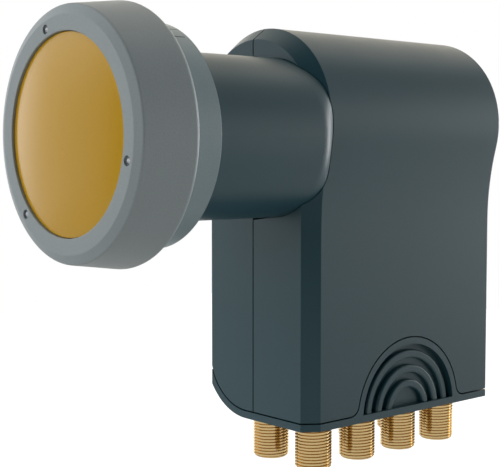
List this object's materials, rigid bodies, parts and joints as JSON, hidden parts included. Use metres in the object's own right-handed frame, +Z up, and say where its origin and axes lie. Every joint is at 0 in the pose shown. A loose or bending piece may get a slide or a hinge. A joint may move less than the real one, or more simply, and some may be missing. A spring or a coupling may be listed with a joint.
{
  "type": "satellite lnb",
  "caption": "Satellite LNB with a round clamp neck, amber feed window in a grey cap, split dark housing, threaded brass outputs and a pull-down weather shield.",
  "frame": {"origin": "centre of the clamp zone on the neck axis", "axes": "+Y along the neck from the window back into the housing, +X towards the side with the finger grip, +Z up"},
  "size_m": [0.0606, 0.133, 0.1151],
  "materials": {
    "housing": "fine matt texture",
    "cap": "fine matt texture",
    "collar": "satin",
    "window": "satin translucent amber",
    "cast_metal": "as cast",
    "seal": "matt",
    "brass": "bright turned",
    "contact": "bright",
    "insulator": "smooth",
    "board": "solder mask",
    "steel": "bright"
  },
  "bodies": {
    "lnb": {"main_shell": "housing", "side_cover": "housing", "feed_cap": "cap", "horn_collar": "collar", "window": "window", "feed_horn": "cast_metal", "chassis": "cast_metal", "chassis_lid": "cast_metal", "cap_seal": "seal", "socket_body_1": "brass", "socket_body_2": "brass", "socket_body_3": "brass", "socket_body_4": "brass", "socket_body_5": "brass", "socket_body_6": "brass", "socket_body_7": "brass", "socket_body_8": "brass", "socket_contact_1": "contact", "socket_contact_2": "contact", "socket_contact_3": "contact", "socket_contact_4": "contact", "socket_contact_5": "contact", "socket_contact_6": "contact", "socket_contact_7": "contact", "socket_contact_8": "contact", "probes": "contact", "socket_insulator_1": "insulator", "socket_insulator_2": "insulator", "socket_insulator_3": "insulator", "socket_insulator_4": "insulator", "socket_insulator_5": "insulator", "socket_insulator_6": "insulator", "socket_insulator_7": "insulator", "socket_insulator_8": "insulator", "output_board": "board", "amplifier_board": "board", "link_board": "board", "lid_screws": "steel", "cap_pins": "steel"},
    "shield": {"weather_shield": "housing"}
  },
  "joints": [
    {"name": "shield_slide", "type": "slide", "parent": "lnb", "child": "shield", "axis": [0, 0, -1], "range_m": [0, 0.028]}
  ]
}
